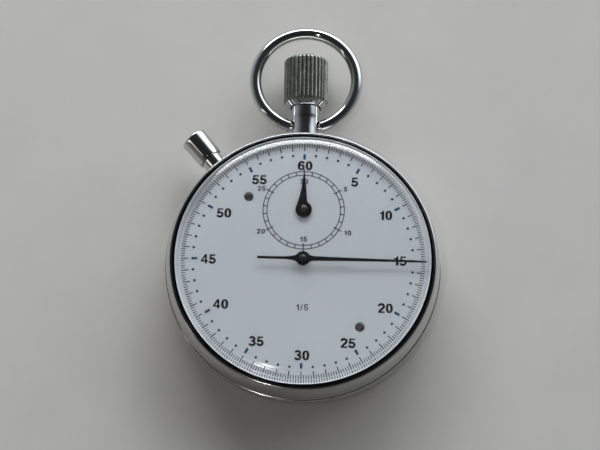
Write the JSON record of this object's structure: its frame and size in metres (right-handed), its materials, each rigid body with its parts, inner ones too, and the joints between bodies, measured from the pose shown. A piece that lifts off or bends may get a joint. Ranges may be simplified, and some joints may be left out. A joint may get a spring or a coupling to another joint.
{
  "type": "mechanical stopwatch",
  "caption": "Hand-wound pocket stopwatch with a round chrome case, domed crystal, 60 second dial, 30 minute register, knurled crown in a ring bow and a side reset button.",
  "frame": {"origin": "on the dial axis, in the plane of the flat back it rests on", "axes": "+Z out of the dial, +Y towards the crown and bow (60 on the dial), +X towards 15 on the dial"},
  "size_m": [0.055, 0.0787, 0.0148],
  "materials": {
    "chrome": "polished chrome plate",
    "dark_chrome": "polished, reads dark",
    "satin_chrome": "satin chrome over a straight knurl",
    "bright_ring": "bright satin",
    "acrylic": "clear polished acrylic",
    "black_rubber": "matt",
    "dial_paint": "fine matt silver white",
    "dark_steel": "dark steel",
    "black_paint": "semi gloss black",
    "steel": "ground steel",
    "nickel": "frosted nickel plate",
    "brass": "gilt brass"
  },
  "bodies": {
    "case": {"case_body": "chrome", "case_back": "chrome", "case_back_gasket": "black_rubber", "bezel": "dark_chrome", "crystal": "acrylic", "reflector_ring": "bright_ring", "dial": "dial_paint", "dial_screws": "dark_steel", "pendant_tube": "chrome", "bow_pivot_pins": "chrome", "reset_tube": "chrome", "movement_ring": "nickel", "case_clamp_screws": "steel", "main_plate": "nickel", "barrel_bridge": "nickel", "train_bridge": "nickel", "pallet_bridge": "nickel", "balance_cock": "nickel", "bridge_screws": "steel", "click_spring": "steel", "crown_return_spring": "steel", "reset_return_spring": "steel"},
    "stem_slide": {"stem_sleeve": "steel"},
    "crown_and_stem": {"crown": "satin_chrome", "winding_stem": "steel"},
    "winding_pinion_body": {"winding_pinion": "steel"},
    "crown_wheel_body": {"crown_wheel": "steel"},
    "ratchet": {"ratchet_wheel": "steel", "barrel_arbor": "steel"},
    "click_body": {"click": "steel"},
    "bow_body": {"bow": "chrome"},
    "reset": {"reset_button": "chrome", "reset_stem": "steel"},
    "hammer": {"reset_hammer": "steel"},
    "lever": {"start_stop_lever": "steel"},
    "column": {"column_wheel": "steel"},
    "brake": {"brake_lever": "steel"},
    "barrel": {"barrel_drum": "brass", "barrel_cover": "brass", "mainspring": "steel"},
    "second": {"second_wheel": "brass", "second_pinion": "steel"},
    "third": {"third_wheel": "brass", "third_pinion": "steel"},
    "sweep": {"seconds_wheel": "brass", "seconds_arbor": "steel", "seconds_heart_cam": "steel", "sweep_hand": "black_paint", "sweep_hand_cap": "dark_steel"},
    "escape": {"escape_wheel": "steel", "escape_pinion": "steel"},
    "pallet": {"pallet_fork": "steel"},
    "balance": {"balance_wheel": "brass", "balance_staff": "steel", "hairspring": "steel"},
    "register": {"register_wheel": "brass"},
    "minute": {"minute_wheel": "brass", "minute_arbor": "steel", "minute_hand": "black_paint", "minute_hand_cap": "dark_steel"}
  },
  "joints": [
    {"name": "crown_push", "type": "slide", "parent": "case", "child": "stem_slide", "axis": [0, -1, 0], "range_m": [0, 0.0012], "stiffness_N_per_m": 1000, "deforming": ["crown_return_spring"]},
    {"name": "crown_wind", "type": "hinge", "parent": "stem_slide", "child": "crown_and_stem", "pos_m": [0, 0.04, 0.0063], "axis": [0, 1, 0], "continuous": true},
    {"name": "winding_pinion_spin", "type": "hinge", "parent": "case", "child": "winding_pinion_body", "pos_m": [0, 0.0154, 0.0063], "axis": [0, 1, 0], "continuous": true},
    {"name": "crown_wheel_spin", "type": "hinge", "parent": "case", "child": "crown_wheel_body", "pos_m": [0, 0.0116, 0.00395], "axis": [0, 0, 1], "continuous": true},
    {"name": "ratchet_spin", "type": "hinge", "parent": "case", "child": "ratchet", "pos_m": [-0.0096, 0.0088, 0.00395], "axis": [0, 0, 1], "continuous": true},
    {"name": "click_rock", "type": "hinge", "parent": "case", "child": "click_body", "pos_m": [-0.013, 0.0165, 0.00395], "axis": [0, 0, 1], "range_deg": [0, 8], "stiffness_Nm_per_rad": 0.00002},
    {"name": "bow_swing", "type": "hinge", "parent": "case", "child": "bow_body", "pos_m": [0, 0.02965, 0.0063], "axis": [1, 0, 0], "range_deg": [-100, 100]},
    {"name": "reset_push", "type": "slide", "parent": "case", "child": "reset", "axis": [0.6455, -0.7638, 0], "range_m": [0, 0.00075], "stiffness_N_per_m": 800, "deforming": ["reset_return_spring"]},
    {"name": "hammer_slide", "type": "slide", "parent": "case", "child": "hammer", "axis": [0.6455, -0.7638, 0], "range_m": [0, 0.00075]},
    {"name": "lever_rock", "type": "hinge", "parent": "case", "child": "lever", "pos_m": [0.009, 0.0172, 0.00685], "axis": [0, 0, 1], "range_deg": [0, 9.9]},
    {"name": "column_turn", "type": "hinge", "parent": "case", "child": "column", "pos_m": [0.013, 0.0075, 0.006], "axis": [0, 0, 1], "continuous": true},
    {"name": "brake_rock", "type": "hinge", "parent": "case", "child": "brake", "pos_m": [0.0109, -0.0005, 0.0048], "axis": [0, 0, -1], "range_deg": [0, 2.5], "stiffness_Nm_per_rad": 0.0001},
    {"name": "sweep_run", "type": "hinge", "parent": "case", "child": "sweep", "pos_m": [0, 0, 0.006], "axis": [0, 0, -1], "continuous": true},
    {"name": "barrel_turn", "type": "hinge", "parent": "case", "child": "barrel", "pos_m": [-0.0096, 0.0088, 0.0056], "axis": [0, 0, 1], "continuous": true},
    {"name": "second_turn", "type": "hinge", "parent": "case", "child": "second", "pos_m": [-0.0096, 0.0004, 0.006], "axis": [0, 0, 1], "continuous": true},
    {"name": "third_turn", "type": "hinge", "parent": "case", "child": "third", "pos_m": [-0.00516, -0.00375, 0.006], "axis": [0, 0, 1], "continuous": true},
    {"name": "escape_turn", "type": "hinge", "parent": "case", "child": "escape", "pos_m": [0.00404, -0.00339, 0.006], "axis": [0, 0, 1], "continuous": true},
    {"name": "pallet_rock", "type": "hinge", "parent": "case", "child": "pallet", "pos_m": [0.00631, -0.00566, 0.00595], "axis": [0, 0, 1], "range_deg": [-6, 6]},
    {"name": "balance_swing", "type": "hinge", "parent": "case", "child": "balance", "pos_m": [0.00914, -0.00848, 0.004], "axis": [0, 0, 1], "range_deg": [-270, 270], "stiffness_Nm_per_rad": 0.0000025},
    {"name": "register_turn", "type": "hinge", "parent": "case", "child": "register", "pos_m": [0.00153, 0.00502, 0.0093], "axis": [0, 0, 1], "continuous": true},
    {"name": "minute_turn", "type": "hinge", "parent": "case", "child": "minute", "pos_m": [0, 0.0102, 0.0098], "axis": [0, 0, 1], "continuous": true}
  ],
  "couplings": [
    {"joint": "winding_pinion_spin", "follows": "crown_wind", "ratio": 1},
    {"joint": "crown_wheel_spin", "follows": "crown_wind", "ratio": 0.53125},
    {"joint": "ratchet_spin", "follows": "crown_wind", "ratio": -0.35417},
    {"joint": "hammer_slide", "follows": "reset_push", "ratio": 1},
    {"joint": "lever_rock", "follows": "crown_push", "rad_per_m": 133.33},
    {"joint": "third_turn", "follows": "sweep_run", "ratio": 0.13333},
    {"joint": "second_turn", "follows": "sweep_run", "ratio": -0.016667},
    {"joint": "barrel_turn", "follows": "sweep_run", "ratio": 0.0027778},
    {"joint": "escape_turn", "follows": "sweep_run", "ratio": 10},
    {"joint": "register_turn", "follows": "sweep_run", "ratio": 0.16667},
    {"joint": "minute_turn", "follows": "sweep_run", "ratio": -0.033333}
  ]
}
